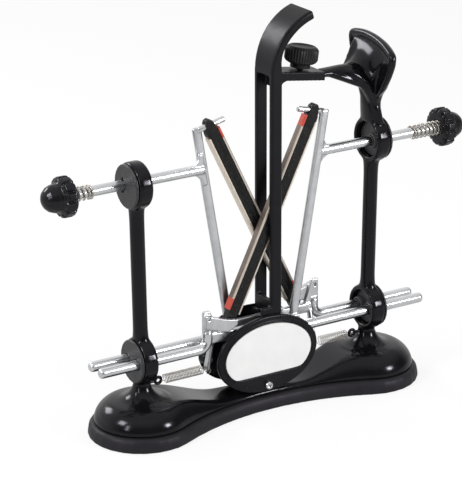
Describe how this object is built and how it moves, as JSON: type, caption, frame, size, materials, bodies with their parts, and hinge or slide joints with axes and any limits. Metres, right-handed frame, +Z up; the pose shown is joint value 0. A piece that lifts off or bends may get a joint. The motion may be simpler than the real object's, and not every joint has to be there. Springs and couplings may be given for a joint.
{
  "type": "diamond rod knife sharpener",
  "caption": "Bench knife sharpener: sprung sliding frames cross diamond rods in a V beside a slotted blade guide, on a dog-bone base with posts and a hand rest.",
  "frame": {"origin": "on the surface it stands on, under the plane of the blade and the middle of the depth", "axes": "+Z up, +X along the base towards the hand rest, -Y towards the badge at the front"},
  "size_m": [0.2694, 0.0612, 0.2286],
  "materials": {
    "gloss_black_paint": "gloss",
    "boot_rubber": "satin",
    "bush_plastic": "satin",
    "bright_frame": "polished",
    "carrier_black": "fine speckle",
    "diamond_grit": "fine grit",
    "finishing_steel": "polished",
    "spring_steel": "drawn wire",
    "knob_black": "gloss",
    "guide_black": "satin",
    "housing_black": "satin",
    "plate_white": "semi gloss",
    "thumb_black": "matt",
    "screw_steel": "bright"
  },
  "bodies": {
    "stand": {"base_boot": "boot_rubber", "base_casting": "gloss_black_paint", "left_post_bolt": "screw_steel", "right_post_bolt": "screw_steel", "housing_bolt": "screw_steel", "left_post": "gloss_black_paint", "right_post": "gloss_black_paint", "left_upper_bush": "bush_plastic", "left_lower_bush": "bush_plastic", "right_upper_bush": "bush_plastic", "right_lower_bush": "bush_plastic", "left_spring_eye": "gloss_black_paint", "right_spring_eye": "gloss_black_paint", "housing_core": "housing_black", "badge_bezel": "housing_black", "badge_plate": "plate_white", "badge_screw": "screw_steel", "rear_cover": "housing_black", "rear_screw_left": "screw_steel", "rear_screw_right": "screw_steel", "blade_guide": "guide_black", "left_return_spring": "spring_steel", "right_return_spring": "spring_steel"},
    "left_slider": {"left_frame": "bright_frame", "left_carrier": "carrier_black", "left_diamond_strip": "diamond_grit", "left_finishing_strip": "finishing_steel", "left_bumper_spring": "spring_steel"},
    "right_slider": {"right_frame": "bright_frame", "right_carrier": "carrier_black", "right_diamond_strip": "diamond_grit", "right_finishing_strip": "finishing_steel", "right_bumper_spring": "spring_steel"},
    "left_adjuster": {"left_knob": "knob_black"},
    "right_adjuster": {"right_knob": "knob_black"},
    "clamp": {"thumb_screw": "thumb_black"}
  },
  "joints": [
    {"name": "left_slide", "type": "slide", "parent": "stand", "child": "left_slider", "axis": [1, 0, 0], "range_m": [-0.002, 0.013], "stiffness_N_per_m": 120, "springref_m": 0.018, "deforming": ["right_return_spring"]},
    {"name": "right_slide", "type": "slide", "parent": "stand", "child": "right_slider", "axis": [-1, 0, 0], "range_m": [-0.002, 0.013], "stiffness_N_per_m": 120, "springref_m": 0.018, "deforming": ["left_return_spring"]},
    {"name": "left_knob_turn", "type": "hinge", "parent": "left_slider", "child": "left_adjuster", "pos_m": [-0.1255, 0.0034, 0.1452], "axis": [1, 0, 0], "continuous": true},
    {"name": "right_knob_turn", "type": "hinge", "parent": "right_slider", "child": "right_adjuster", "pos_m": [0.1255, -0.0034, 0.1452], "axis": [1, 0, 0], "continuous": true},
    {"name": "clamp_turn", "type": "hinge", "parent": "stand", "child": "clamp", "pos_m": [0.0248, 0, 0.19092], "axis": [0.1419, 0, 0.9899], "continuous": true}
  ]
}
